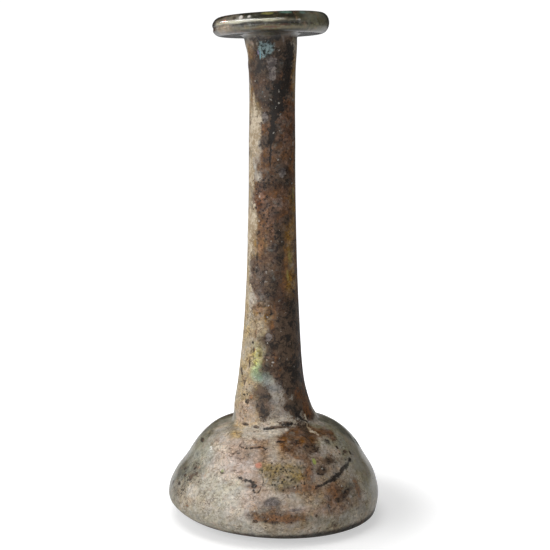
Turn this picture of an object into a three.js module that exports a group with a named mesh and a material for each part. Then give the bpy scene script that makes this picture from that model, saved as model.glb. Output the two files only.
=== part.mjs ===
// Glass unguentarium: a free-blown perfume bottle with a squat bell-shaped body, a long tapering neck and
// a broad folded rim. It is one piece of glass, hollow, and open at the mouth.
// Millimetres, +Z up, standing on Z = 0 with the middle of its bounding box over the origin.
import * as THREE from "three";

// Driving dimensions
const SIDES = 60;

// Body: the outside from the edge of the foot up to the crease under the neck, as [radius, height]
const FOOT_RADIUS = 23.1;
const BODY_RADIUS = 35.4;
const CREASE = [14.6, 32.1];
const BODY_STATIONS = [
  [FOOT_RADIUS, 0],
  [28.2, 0.95],
  [32.9, 3.05],
  [35.2, 6.2],
  [BODY_RADIUS, 9.2],
  [33.7, 14.3],
  [30.3, 19.5],
  [27.2, 24.5],
  [23.7, 28.3],
  [20.2, 30.6],
  CREASE,
];

// Neck: the outside from the crease up to the underside of the rim, as [radius, height]
const NECK_STATIONS = [
  CREASE,
  [13.5, 35],
  [12.9, 38],
  [11.4, 45],
  [9.8, 60],
  [8.65, 80],
  [8.05, 100],
  [7.75, 120],
  [7.6, 140],
  [8.0, 152],
  [8.6, 156.6],
];

// Rim: a disc folded out, up and in, with a round edge and the seam of the fold as a groove in it
const RIM_RADIUS = 18.75;
const RIM_TOP = 164.8;
const RIM_UNDERSIDE = 158.6;
const RIM_EDGE_DEPTH = 2.7;
const RIM_FILLET = 1.2;
const SEAM_DEPTH = 0.35;
const SEAM_WIDTH = 0.6;
const SEAM_HEIGHT = 161.2;

// Mouth: a shallow funnel in the top of the rim
const MOUTH_RADIUS = 8.4;
const MOUTH_DEPTH = 1.3;

// Wall and foot, with the lowest and highest heights between which the hollow follows the outside. Both
// take in the crease, so that the hollow turns inside it with the whole wall kept
const NECK_WALL = 1.9;
const BODY_WALL = 1.6;
const NECK_HOLLOW = [32, 156];
const BODY_HOLLOW = [2, 33];
const FOOT_THICKNESS = 2.6;
const FLOOR_INSET = 5.2;
const KICK_RADIUS = 16;
const KICK_HEIGHT = 1.6;

// Uneven shaping by hand: sideways lie of the glass as [height, distance along X], and the rim's slopes
const SIDEWAYS = [
  [0, 5.4],
  [3, 1.5],
  [6, -0.1],
  [10, -0.4],
  [15, -0.05],
  [20, 0.35],
  [26, 0.4],
  [32, 0],
  [40, -1],
  [70, -0.9],
  [RIM_TOP, -0.8],
];
const RIM_SIDEWAYS = -0.5;
const RIM_SLOPE_BELOW = 0.03;
const RIM_SLOPE_ABOVE = 0.05;

// On the +X side the crease is softer: the glass swells out and up by so much, fading with distance from
// a [radius, height] point
const SOFT_CREASE = 0.42;
const SOFT_CREASE_REACH = 3.5;
const SOFT_CREASE_MIDDLE = [13.3, 32.3];

// The seam of the fold closes up where the glass faces this much towards +X, from -1 to 1
const SEAM_CLOSES_FROM = 0.1;
const SEAM_CLOSED_BY = 0.8;

// Steps along the outline between two stations, and across the kick and the floor as shares of their radius
const BODY_STEPS = 2;
const NECK_STEPS = 1;
const INSIDE_STEPS = 1;
const EDGE_STEPS = 12;
const LIP_STEPS = 4;
const FILLET_STEPS = 3;
const KICK_SHARES = [0, 0.4, 0.7, 0.9];
const FLOOR_SHARES = [0.62, 0.3, 0];

// A smooth curve through [radius, height] stations, as Vector2 points.
function smoothOutline(stations, steps) {
  const through = stations.map(([radius, height]) => new THREE.Vector3(radius, height, 0));
  const curve = new THREE.CatmullRomCurve3(through, false, "centripetal");
  return curve.getPoints(steps * (stations.length - 1)).map((p) => new THREE.Vector2(p.x, p.y));
}

// An arc about [radius, height] with its half-sizes across and up, between two angles, as Vector2 points.
function arc([radius, height], [across, up], from, to, steps) {
  const curve = new THREE.EllipseCurve(radius, height, across, up, from, to, to < from);
  return curve.getPoints(steps);
}

// The same stations moved inward, square to the outline, by the wall's thickness.
function insideOf(stations, wall) {
  return stations.map(([radius, height], i) => {
    const [r0, h0] = stations[Math.max(i - 1, 0)];
    const [r1, h1] = stations[Math.min(i + 1, stations.length - 1)];
    const along = new THREE.Vector2(r1 - r0, h1 - h0).normalize();
    return [radius - along.y * wall, height + along.x * wall];
  });
}

// The stations whose height lies between two heights, moved inward by the wall's thickness.
function hollowOf(stations, [lowest, highest], wall) {
  return insideOf(
    stations.filter(([, height]) => height > lowest && height < highest),
    wall,
  );
}

// A low dome, from a height at its edge to a height in its middle, at shares of its radius.
function dome(radius, edgeHeight, middleHeight, shares) {
  return shares.map((share) => {
    const rise = (middleHeight - edgeHeight) * Math.cos((share * Math.PI) / 2);
    return new THREE.Vector2(radius * share, edgeHeight + rise);
  });
}

// Underside: the raised kick in the middle, then the flat ring that the bottle rests on.
function underside() {
  const ring = [KICK_RADIUS, (KICK_RADIUS + FOOT_RADIUS) / 2].map((radius) => new THREE.Vector2(radius, 0));
  return [...dome(KICK_RADIUS, 0, KICK_HEIGHT, KICK_SHARES), ...ring];
}

// Rim: from the fillet under it, out along the flat underside and round the edge to the top.
function rimOutline() {
  const [neckRadius] = NECK_STATIONS.at(-1);
  const quarter = Math.PI / 2;
  const halfHeight = (RIM_TOP - RIM_UNDERSIDE) / 2;
  const fillet = [neckRadius + RIM_FILLET, RIM_UNDERSIDE - RIM_FILLET];
  const edge = [RIM_RADIUS - RIM_EDGE_DEPTH, RIM_UNDERSIDE + halfHeight];
  return [
    ...arc(fillet, [RIM_FILLET, RIM_FILLET], Math.PI, quarter, FILLET_STEPS),
    ...arc(edge, [RIM_EDGE_DEPTH, halfHeight], -quarter, quarter, EDGE_STEPS),
  ];
}

// Mouth: down the funnel from the top of the rim to the bore.
function mouthOutline(boreRadius) {
  const lip = MOUTH_RADIUS - boreRadius;
  const edge = [MOUTH_RADIUS, RIM_TOP - MOUTH_DEPTH - lip];
  return arc(edge, [lip, lip], Math.PI / 2, Math.PI, LIP_STEPS);
}

// Inside of the neck and body, from the mouth down to the middle of the floor.
function insideOutline() {
  const body = hollowOf(BODY_STATIONS, BODY_HOLLOW, BODY_WALL);
  const neck = hollowOf(NECK_STATIONS, NECK_HOLLOW, NECK_WALL);
  const floorRadius = body[0][0] - FLOOR_INSET;
  const wall = smoothOutline([[floorRadius, FOOT_THICKNESS], ...body, ...neck], INSIDE_STEPS);
  const floor = dome(floorRadius, FOOT_THICKNESS, FOOT_THICKNESS + KICK_HEIGHT, FLOOR_SHARES);
  return [...wall.reverse(), ...floor];
}

// The whole closed outline, from the middle of the underside, up the outside and down the inside.
function wholeOutline() {
  const body = smoothOutline(BODY_STATIONS, BODY_STEPS);
  const neck = smoothOutline(NECK_STATIONS, NECK_STEPS).slice(1);
  const inside = insideOutline();
  return [...underside(), ...body, ...neck, ...rimOutline(), ...mouthOutline(inside[0].x), ...inside];
}

// A bell-shaped rise from 0 to 1 and back, that is about 1/3 high at its width.
function bump(distance, width) {
  return Math.exp(-((distance / width) ** 2));
}

const lieAt = new THREE.CubicInterpolant(SIDEWAYS.map(([h]) => h), SIDEWAYS.map(([, x]) => x), 1);

// How far the crease is swollen at a point of the true round form, facing from -1 to 1 along X.
function creaseSwelling(radius, height, facing) {
  const [middleRadius, middleHeight] = SOFT_CREASE_MIDDLE;
  const distance = Math.hypot(radius - middleRadius, height - middleHeight);
  return SOFT_CREASE * Math.max(facing, 0) ** 2 * bump(distance, SOFT_CREASE_REACH);
}

// How far the seam of the folded rim cuts in; it closes up on the +X side.
function seamDepth(radius, height, facing) {
  const outside = radius > RIM_RADIUS - RIM_EDGE_DEPTH ? 1 : 0;
  const open = 1 - THREE.MathUtils.smoothstep(facing, SEAM_CLOSES_FROM, SEAM_CLOSED_BY);
  return SEAM_DEPTH * outside * open * bump(height - SEAM_HEIGHT, SEAM_WIDTH);
}

// Moves one point of the true round form to where the blower's hand left it.
function shapeByHand(point) {
  const radius = Math.hypot(point.x, point.y);
  const facing = radius > 0 ? point.x / radius : 0;
  const swelling = creaseSwelling(radius, point.z, facing);
  const outward = radius > 0 ? (swelling - seamDepth(radius, point.z, facing)) / radius : 0;
  const inRim = THREE.MathUtils.smoothstep(point.z, NECK_STATIONS.at(-2)[1], RIM_UNDERSIDE);
  const share = Math.max((point.z - RIM_UNDERSIDE) / (RIM_TOP - RIM_UNDERSIDE), 0);
  const slope = THREE.MathUtils.lerp(RIM_SLOPE_BELOW, RIM_SLOPE_ABOVE, share);
  const [lie] = lieAt.evaluate(point.z);
  const x = point.x * (1 + outward) + lie + RIM_SIDEWAYS * inRim;
  return new THREE.Vector3(x, point.y * (1 + outward), point.z + swelling + point.x * slope * inRim);
}

const geometry = new THREE.LatheGeometry(wholeOutline(), SIDES);
geometry.rotateX(Math.PI / 2);
const position = geometry.getAttribute("position");
const point = new THREE.Vector3();
for (let i = 0; i < position.count; i += 1) {
  const shaped = shapeByHand(point.fromBufferAttribute(position, i));
  position.setXYZ(i, shaped.x, shaped.y, shaped.z);
}
geometry.computeBoundingBox();
const middle = geometry.boundingBox.getCenter(new THREE.Vector3());
geometry.translate(-middle.x, -middle.y, 0);
geometry.computeVertexNormals();

const glass = new THREE.MeshStandardMaterial({ color: 0x8f8468, roughness: 0.45, metalness: 0 });
const bottle = new THREE.Mesh(geometry, glass);
bottle.name = "unguentarium";

const part = new THREE.Group();
part.add(bottle);
export default part;
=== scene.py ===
"""Glass unguentarium: the looks of a weathered, free-blown perfume bottle.

The bottle's form is turned from the same named sizes as its construction, then shaped by hand, roughened and
painted with the crusts, stains and films that lie on old glass. Lengths are in millimetres, until a mesh is
made. An azimuth is in degrees: 0 faces the viewer, and it grows to the right.
"""

import logging
import math
from dataclasses import dataclass, field
from enum import Enum
from typing import Iterable, Sequence

import bpy
import numpy as np
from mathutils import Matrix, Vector


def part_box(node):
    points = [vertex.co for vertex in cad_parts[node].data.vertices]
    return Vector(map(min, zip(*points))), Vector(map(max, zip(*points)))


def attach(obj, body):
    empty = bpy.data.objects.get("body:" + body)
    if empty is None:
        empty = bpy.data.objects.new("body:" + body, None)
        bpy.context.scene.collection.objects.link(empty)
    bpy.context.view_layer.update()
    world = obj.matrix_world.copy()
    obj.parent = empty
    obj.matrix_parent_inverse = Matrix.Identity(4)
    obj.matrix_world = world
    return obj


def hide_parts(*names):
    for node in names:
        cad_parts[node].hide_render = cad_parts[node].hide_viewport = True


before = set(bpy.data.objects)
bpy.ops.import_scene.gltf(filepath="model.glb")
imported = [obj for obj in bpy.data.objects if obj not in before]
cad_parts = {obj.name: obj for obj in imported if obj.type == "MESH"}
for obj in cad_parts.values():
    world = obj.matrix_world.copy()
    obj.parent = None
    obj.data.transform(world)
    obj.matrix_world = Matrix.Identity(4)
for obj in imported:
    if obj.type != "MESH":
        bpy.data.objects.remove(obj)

LOG = logging.getLogger("unguentarium")
NODE = "unguentarium"
MM = 0.001
ARC_STEPS = 48
DOME_STEPS = 24
OFF_PATCH = -2.0
OFF_CRACK = 6.0
Pair = tuple[float, float]
Triple = tuple[float, float, float]
Stations = tuple[Pair, ...]
Colour = tuple[float, float, float, float]


def srgb(red: float, green: float, blue: float) -> Colour:
    """Linear colour of a display colour whose channels run to 255."""
    channels = np.array([red, green, blue]) / 255
    linear = np.where(channels <= 0.04045, channels / 12.92, ((channels + 0.055) / 1.055) ** 2.4)
    return (*linear.tolist(), 1.0)


def smoothstep(low: float, high: float, value: np.ndarray) -> np.ndarray:
    """A smooth rise from 0 at low to 1 at high."""
    share = np.clip((value - low) / (high - low), 0, 1)
    return share * share * (3 - 2 * share)


class SoftNoise:
    """Smooth random waves in space, the same for the same seed."""

    cells = 32
    octave_shift = 7.3

    def __init__(self, seed: int) -> None:
        """Draws the lattice that the waves run through."""
        self.lattice = np.random.default_rng(seed).uniform(-1, 1, (self.cells,) * 3)

    def at(self, points: np.ndarray, wavelength: float, octaves: int = 3) -> np.ndarray:
        """Value between about -1 and 1 at each point.

        Args:
            points: An array of points, one a row.
            wavelength: The size of the largest waves, in the points' unit.
            octaves: How many layers of waves, each half the size and height of the one before.

        Returns:
            One value a point.
        """
        total = np.zeros(len(points))
        for octave in range(octaves):
            cell = points / wavelength * 2**octave + self.octave_shift * octave
            base = np.floor(cell).astype(int)
            share = smoothstep(0, 1, cell - base)
            value = np.zeros(len(points))
            for corner in np.ndindex(2, 2, 2):
                index = (base + corner) % self.cells
                weight = np.prod(np.where(corner, share, 1 - share), axis=1)
                value += weight * self.lattice[index[:, 0], index[:, 1], index[:, 2]]
            total += value / 2**octave
        return total


@dataclass(frozen=True)
class Outline:
    """A run of [radius, height] points along the bottle's section."""

    points: np.ndarray

    @staticmethod
    def through(stations: Sequence[Pair], steps: int = 24) -> "Outline":
        """A smooth curve through stations, paced by the root of the gaps between them.

        Args:
            stations: The [radius, height] points that the curve passes.
            steps: How many points it has from one station to the next.

        Returns:
            The curve.
        """
        given = np.array(stations, float)
        given = np.vstack([2 * given[0] - given[1], given, 2 * given[-1] - given[-2]])
        run = []
        for before, start, end, after in zip(given, given[1:], given[2:], given[3:]):
            pairs = ((before, start), (start, end), (end, after))
            first, gap, last = (np.sqrt(np.linalg.norm(q - p)) for p, q in pairs)
            leave = (start - before) / first - (end - before) / (first + gap) + (end - start) / gap
            arrive = (end - start) / gap - (after - start) / (gap + last) + (after - end) / last
            leave, arrive = leave * gap, arrive * gap
            t = np.linspace(0, 1, steps, endpoint=False)[:, None]
            cubic = 2 * (start - end) + leave + arrive
            square = 3 * (end - start) - 2 * leave - arrive
            run.append(start + leave * t + square * t**2 + cubic * t**3)
        return Outline(np.vstack([*run, given[-2]]))

    @staticmethod
    def straight(*points: Sequence[float]) -> "Outline":
        """A straight run between points."""
        return Outline(np.array(points, float))

    @staticmethod
    def arc(centre: Sequence[float], sizes: Sequence[float], start: float, end: float) -> "Outline":
        """Part of an ellipse.

        Args:
            centre: Its [radius, height].
            sizes: Its half-sizes across and up.
            start: The angle that it begins at, in degrees.
            end: The angle that it ends at, in degrees.

        Returns:
            The arc.
        """
        angle = np.radians(np.linspace(start, end, ARC_STEPS))
        across = centre[0] + sizes[0] * np.cos(angle)
        return Outline(np.stack([across, centre[1] + sizes[1] * np.sin(angle)], axis=1))

    @staticmethod
    def dome(radius: float, edge_height: float, rise: float) -> "Outline":
        """A low dome, from its middle on the axis out to its edge.

        Args:
            radius: The edge's radius.
            edge_height: The edge's height.
            rise: How much higher the middle is.

        Returns:
            The dome.
        """
        share = np.linspace(0, 1, DOME_STEPS)
        return Outline(np.stack([radius * share, edge_height + rise * np.cos(share * math.pi / 2)], axis=1))

    def turned_round(self) -> "Outline":
        """The same run from its end to its start."""
        return Outline(self.points[::-1])

    def parted(self, height: float) -> tuple["Outline", "Outline"]:
        """The run below and above a height, for a run that only rises."""
        place = int(np.searchsorted(self.points[:, 1], height))
        return Outline(self.points[: place + 1]), Outline(self.points[place:])

    def spaced(self, spacing: float) -> np.ndarray:
        """The run's points again, an even distance apart.

        Args:
            spacing: About how far apart.

        Returns:
            [radius, height] points, one a row.
        """
        length = np.r_[0, np.cumsum(np.linalg.norm(np.diff(self.points, axis=0), axis=1))]
        places = np.linspace(0, length[-1], max(2, round(length[-1] / spacing) + 1))
        return np.stack([np.interp(places, length, column) for column in self.points.T], axis=1)


@dataclass(frozen=True)
class Spacing:
    """How far apart the section's points are along each of its runs."""

    kick: float = 1.8
    foot: float = 1.0
    body: float = 0.6
    neck_foot: float = 0.5
    neck: float = 1.0
    fillet: float = 0.4
    under_rim: float = 0.8
    rim_edge: float = 0.3
    rim_top: float = 0.8
    lip: float = 0.4
    bore: float = 6.0
    turn_inside: float = 1.2
    body_inside: float = 3.0
    floor: float = 4.2


@dataclass(frozen=True)
class BottleForm:
    """The bottle's driving sizes and the round form that they make, in millimetres."""

    foot_radius: float = 23.1
    crease: Pair = (14.6, 32.1)
    body: Stations = (
        (foot_radius, 0), (28.2, 0.95), (32.9, 3.05), (35.2, 6.2), (35.4, 9.2), (33.7, 14.3),
        (30.3, 19.5), (27.2, 24.5), (23.7, 28.3), (20.2, 30.6), crease,
    )
    neck: Stations = (
        crease, (13.5, 35), (12.9, 38), (11.4, 45), (9.8, 60), (8.65, 80),
        (8.05, 100), (7.75, 120), (7.6, 140), (8.0, 152), (8.6, 156.6),
    )
    rim_radius: float = 18.75
    rim_top: float = 164.8
    rim_underside: float = 158.6
    rim_edge_depth: float = 2.7
    rim_fillet: float = 1.2
    seam_depth: float = 0.35
    seam_width: float = 0.6
    seam_height: float = 161.2
    seam_closing: Pair = (0.1, 0.8)
    mouth_radius: float = 8.4
    mouth_depth: float = 1.3
    neck_wall: float = 1.9
    body_wall: float = 1.6
    neck_hollow: Pair = (32, 156)
    body_hollow: Pair = (2, 33)
    foot_thickness: float = 2.6
    floor_inset: float = 5.2
    kick_radius: float = 16.0
    kick_height: float = 1.6
    sideways: Stations = (
        (0, 5.4), (3, 1.5), (6, -0.1), (10, -0.4), (15, -0.05), (20, 0.35),
        (26, 0.4), (32, 0), (40, -1), (70, -0.9), (rim_top, -0.8),
    )
    rim_sideways: float = -0.5
    rim_slope_below: float = 0.03
    rim_slope_above: float = 0.05
    soft_crease: float = 0.42
    soft_crease_reach: float = 3.5
    soft_crease_middle: Pair = (13.3, 32.3)
    fine_below: float = 38
    turn_reach: float = 4
    spacing: Spacing = Spacing()

    def outside(self) -> np.ndarray:
        """Section from the middle of the underside up to the lip of the mouth."""
        half = (self.rim_top - self.rim_underside) / 2
        fillet = (self.neck[-1][0] + self.rim_fillet, self.rim_underside - self.rim_fillet)
        edge = (self.rim_radius - self.rim_edge_depth, self.rim_underside + half)
        neck_foot, neck = Outline.through(self.neck).parted(self.fine_below)
        runs = (
            (Outline.dome(self.kick_radius, 0, self.kick_height), self.spacing.kick),
            (Outline.straight((self.kick_radius, 0), (self.foot_radius, 0)), self.spacing.foot),
            (Outline.through(self.body), self.spacing.body),
            (neck_foot, self.spacing.neck_foot),
            (neck, self.spacing.neck),
            (Outline.arc(fillet, (self.rim_fillet, self.rim_fillet), 180, 90), self.spacing.fillet),
            (Outline.straight((fillet[0], self.rim_underside), (edge[0], self.rim_underside)),
             self.spacing.under_rim),
            (Outline.arc(edge, (self.rim_edge_depth, half), -90, 90), self.spacing.rim_edge),
            (Outline.straight((edge[0], self.rim_top), self.lip_top()), self.spacing.rim_top),
            (self.lip(), self.spacing.lip),
        )
        return np.vstack([run.spaced(spacing)[:-1] for run, spacing in runs])

    def lip_top(self) -> Pair:
        """Where the rim's top turns down into the mouth."""
        return self.mouth_radius, self.rim_top - self.mouth_depth

    def lip(self) -> Outline:
        """The rounded lip of the mouth, down to the bore of the neck."""
        size = self.mouth_radius - self.hollow_neck()[-1][0]
        return Outline.arc((self.mouth_radius, self.lip_top()[1] - size), (size, size), 90, 180)

    def hollow_body(self) -> list[Pair]:
        """Stations of the body's inner side."""
        return self.inner_side(self.body, self.body_hollow, self.body_wall)

    def hollow_neck(self) -> list[Pair]:
        """Stations of the neck's inner side."""
        return self.inner_side(self.neck, self.neck_hollow, self.neck_wall)

    @staticmethod
    def inner_side(stations: Stations, heights: Pair, wall: float) -> list[Pair]:
        """Moves stations square to their run, towards the hollow.

        Args:
            stations: The outer side's [radius, height] points.
            heights: The lowest and highest heights that the hollow follows them between.
            wall: The wall's thickness.

        Returns:
            The inner side's points.
        """
        given = np.array([station for station in stations if heights[0] < station[1] < heights[1]])
        along = np.vstack([given[1] - given[0], given[2:] - given[:-2], given[-1] - given[-2]])
        along /= np.linalg.norm(along, axis=1)[:, None]
        return [(r - a[1] * wall, h + a[0] * wall) for (r, h), a in zip(given, along)]

    def inside(self) -> np.ndarray:
        """Section from the lip down to the middle of the floor."""
        body = self.hollow_body()
        ring = (body[0][0] - self.floor_inset, self.foot_thickness)
        wall = Outline.through((ring, *body, *self.hollow_neck()))
        low, rest = wall.parted(self.crease[1] - self.turn_reach)
        turn, high = rest.parted(self.crease[1] + self.turn_reach)
        high = Outline(np.vstack([high.points, self.lip().points[-1]]))
        runs = ((high, self.spacing.bore), (turn, self.spacing.turn_inside), (low, self.spacing.body_inside))
        floor = Outline.dome(*ring, self.kick_height).turned_round()
        return np.vstack([*(run.spaced(gap)[:0:-1] for run, gap in runs), floor.spaced(self.spacing.floor)])

    def lie(self, height: np.ndarray) -> np.ndarray:
        """How far the glass lies to one side, on a smooth curve through the sideways stations.

        Args:
            height: The heights that are asked for.

        Returns:
            The distance along X at each height.
        """
        heights, values = np.array(self.sideways).T
        heights = np.r_[2 * heights[0] - heights[1], heights, 2 * heights[-1] - heights[-2]]
        values = np.r_[values[1], values, values[-2]]
        i = np.clip(np.searchsorted(heights, height, side="right") - 1, 1, len(heights) - 3)
        start, end = heights[i], heights[i + 1]
        half = (end - start) / 2
        before = half / (start - heights[i - 1])
        after = half / (heights[i + 2] - end)
        p = (height - start) / (end - start)
        return (
            values[i - 1] * before * (2 * p**2 - p**3 - p)
            + values[i] * ((1 + before) * p**3 - (1.5 + 2 * before) * p**2 + (before - 0.5) * p + 1)
            + values[i + 1] * ((1.5 + after) * p**2 - (1 + after) * p**3 + 0.5 * p)
            + values[i + 2] * after * (p**3 - p**2)
        )

    def shape_by_hand(self, points: np.ndarray) -> np.ndarray:
        """Moves the true round form to where the blower's hand left it.

        Args:
            points: Points on the round form, one a row.

        Returns:
            The same points, moved.
        """
        x, y, z = points.T
        radius = np.hypot(x, y)
        facing = np.divide(x, radius, out=np.zeros_like(x), where=radius > 1e-6)
        distance = np.hypot(radius - self.soft_crease_middle[0], z - self.soft_crease_middle[1])
        swelling = self.soft_crease * np.maximum(facing, 0) ** 2
        swelling = swelling * np.exp(-((distance / self.soft_crease_reach) ** 2))
        seam = self.seam_depth * np.exp(-(((z - self.seam_height) / self.seam_width) ** 2))
        seam = seam * (radius > self.rim_radius - self.rim_edge_depth)
        seam = seam * (1 - smoothstep(*self.seam_closing, facing))
        outward = np.divide(swelling - seam, radius, out=np.zeros_like(x), where=radius > 1e-6)
        in_rim = smoothstep(self.neck[-2][1], self.rim_underside, z)
        share = np.maximum((z - self.rim_underside) / (self.rim_top - self.rim_underside), 0)
        slope = self.rim_slope_below + (self.rim_slope_above - self.rim_slope_below) * share
        sideways = self.lie(z) + self.rim_sideways * in_rim
        moved = (x * (1 + outward) + sideways, y * (1 + outward), z + swelling + x * slope * in_rim)
        return np.stack(moved, axis=1)


@dataclass(frozen=True)
class Value:
    """What one node gives, for use in plain sums."""

    tree: "Tree"
    socket: bpy.types.NodeSocket

    def __add__(self, other: object) -> "Value":
        """The sum with another value or number."""
        return self.tree.sum("ADD", self, other)

    def __sub__(self, other: object) -> "Value":
        """What is left after another value or number is taken off."""
        return self.tree.sum("SUBTRACT", self, other)

    def __rsub__(self, other: float) -> "Value":
        """A number less this value."""
        return self.tree.sum("SUBTRACT", other, self)

    def __mul__(self, other: object) -> "Value":
        """The product with another value or number."""
        return self.tree.sum("MULTIPLY", self, other)

    __radd__ = __add__
    __rmul__ = __mul__


class Tree:
    """Short ways to lay out the nodes of a tree."""

    def __init__(self, tree: bpy.types.NodeTree) -> None:
        """Takes the tree that the nodes go in."""
        self.tree = tree

    def node(self, kind: str, inputs: dict, **settings: object) -> bpy.types.Node:
        """Adds a node.

        Args:
            kind: The node's kind.
            inputs: What goes in at each input, by the input's name or number.
            settings: The node's own settings.

        Returns:
            The node.
        """
        node = self.tree.nodes.new(kind)
        for name, value in settings.items():
            setattr(node, name, value)
        for name, value in inputs.items():
            self.put(node.inputs[name], value)
        return node

    def put(self, socket: bpy.types.NodeSocket, value: object) -> None:
        """Joins an input to a value, or sets it to a constant."""
        if isinstance(value, Value):
            self.tree.links.new(value.socket, socket)
        else:
            socket.default_value = value

    def outputs(self, kind: str, inputs: dict) -> list[Value]:
        """Adds a node, and returns all that it gives."""
        return [Value(self, socket) for socket in self.node(kind, inputs).outputs]

    def work(self, kind: str, inputs: dict, output: str | int = 0, **settings: object) -> Value:
        """Adds a node, and returns what it gives at the output of a name or number."""
        return Value(self, self.node(kind, inputs, **settings).outputs[output])

    def sum(self, operation: str, *values: object, clamp: bool = False) -> Value:
        """One operation on numbers."""
        return self.work("ShaderNodeMath", dict(enumerate(values)), operation=operation, use_clamp=clamp)


class Turner(Tree):
    """Turns a section round the upright axis with a geometry node tree, the way a lathe would."""

    weld_distance = 1e-7

    def __init__(self, name: str = "turned section") -> None:
        """Makes the tree with its named inputs."""
        super().__init__(bpy.data.node_groups.new(name, "GeometryNodeTree"))
        add = self.tree.interface.new_socket
        kinds = {"Section": "Geometry", "Sides": "Int", "Rings": "Int", "Finish": "Material"}
        asks = [add(name, in_out="INPUT", socket_type="NodeSocket" + kind) for name, kind in kinds.items()]
        self.sides, self.rings, self.finish = (ask.identifier for ask in asks[1:])
        add("Geometry", in_out="OUTPUT", socket_type="NodeSocketGeometry")
        self.join()

    def join(self) -> None:
        """Joins the nodes: a grid whose columns go round and whose rows follow the section."""
        section, sides, rings, finish = self.outputs("NodeGroupInput", {})[:4]
        size = {"Size X": 1, "Size Y": 1, "Vertices X": sides + 1, "Vertices Y": rings}
        form, chart = self.outputs("GeometryNodeMeshGrid", size)
        place = self.work("GeometryNodeInputPosition", {})
        across, up, _ = self.outputs("ShaderNodeSeparateXYZ", {0: place})
        around, row = (across + 0.5) * math.tau, (up + 0.5) * (rings - 1)
        asked = {"Geometry": section, "Value": place, "Index": self.sum("ROUND", row)}
        point = self.work("GeometryNodeSampleIndex", asked, "Value", data_type="FLOAT_VECTOR", domain="POINT")
        radius, _, height = self.outputs("ShaderNodeSeparateXYZ", {0: point})
        turned = {"X": radius * self.sum("SINE", around), "Y": radius * (self.sum("COSINE", around) * -1)}
        turned = self.work("ShaderNodeCombineXYZ", {**turned, "Z": height})
        form = self.store(form, "along", row, "FLOAT", "POINT")
        form = self.work("GeometryNodeSetPosition", {"Geometry": form, "Position": turned})
        form = self.store(form, "UVMap", chart, "FLOAT2", "CORNER")
        form = self.work("GeometryNodeMergeByDistance", {"Geometry": form, "Distance": self.weld_distance})
        form = self.work("GeometryNodeSetShadeSmooth", {"Geometry": form})
        form = self.work("GeometryNodeSetMaterial", {"Geometry": form, "Material": finish})
        self.node("NodeGroupOutput", {0: form})

    def store(self, form: Value, name: str, value: Value, kind: str, domain: str) -> Value:
        """Stores a value on a form under a name.

        Args:
            form: The form.
            name: The name.
            value: The value.
            kind: The kind of the value.
            domain: Whether each point or each corner has its own.

        Returns:
            The form with the value on it.
        """
        inputs = {"Geometry": form, "Name": name, "Value": value}
        return self.work("GeometryNodeStoreNamedAttribute", inputs, data_type=kind, domain=domain)

    def turn(
        self, name: str, section: np.ndarray, sides: int, finish: bpy.types.Material
    ) -> bpy.types.Object:
        """Turns a section into a closed plain mesh.

        Args:
            name: The object's name.
            section: [radius, height] points in millimetres, from axis to axis.
            sides: How many columns go round.
            finish: The material that the mesh wears.

        Returns:
            The new object, with no modifier left on it.
        """
        mesh = bpy.data.meshes.new(name + " section")
        points = np.stack([section[:, 0], np.zeros(len(section)), section[:, 1]], axis=1) * MM
        mesh.from_pydata(points.tolist(), [(i, i + 1) for i in range(len(section) - 1)], [])
        blank = bpy.data.objects.new(name, mesh)
        bpy.context.scene.collection.objects.link(blank)
        modifier = blank.modifiers.new("turn", "NODES")
        modifier.node_group = self.tree
        modifier[self.sides], modifier[self.rings], modifier[self.finish] = sides, len(section), finish
        return self.settle(blank)

    @staticmethod
    def settle(thing: bpy.types.Object) -> bpy.types.Object:
        """Puts an object's finished shape in a plain mesh and takes its modifiers off.

        Args:
            thing: The object.

        Returns:
            The same object.
        """
        bpy.context.view_layer.update()
        graph = bpy.context.evaluated_depsgraph_get()
        mesh = bpy.data.meshes.new_from_object(thing.evaluated_get(graph), depsgraph=graph)
        thing.modifiers.clear()
        thing.data = mesh
        mesh.name = thing.name
        return thing


class Layer(Enum):
    """What lies on the glass with an edge of its own, from the lowest layer to the uppermost."""

    RUST = "rust stain"
    CREAM = "cream crust"
    UMBER = "dark crust"
    SLATE = "slate scale"
    GOLD = "yellow film"
    TEAL = "blue-green film"


@dataclass(frozen=True)
class Substance:
    """How one layer looks.

    Two colours that it wanders between, its gloss, its thickness in millimetres, how far its edge is frayed
    and softened as a share of a patch's size, and how much of what lies below it hides.
    """

    light: Colour
    dark: Colour
    roughness: float
    thickness: float
    frayed: float
    soft: float
    cover: float


SUBSTANCES = {
    Layer.RUST: Substance(srgb(158, 108, 66), srgb(88, 58, 36), 0.55, 0.02, 4.0, 0.2, 0.56),
    Layer.CREAM: Substance(srgb(222, 208, 184), srgb(172, 150, 120), 0.6, 0.04, 3.0, 0.14, 0.9),
    Layer.UMBER: Substance(srgb(104, 84, 67), srgb(32, 25, 19), 0.4, 0.05, 4.4, 0.12, 0.94),
    Layer.SLATE: Substance(srgb(150, 140, 134), srgb(74, 68, 68), 0.38, 0.06, 2.4, 0.12, 0.75),
    Layer.GOLD: Substance(srgb(190, 178, 92), srgb(128, 124, 70), 0.3, 0.0, 2.4, 0.5, 0.5),
    Layer.TEAL: Substance(srgb(146, 170, 172), srgb(18, 30, 30), 0.28, 0.0, 3.4, 0.3, 0.9),
}

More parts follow.
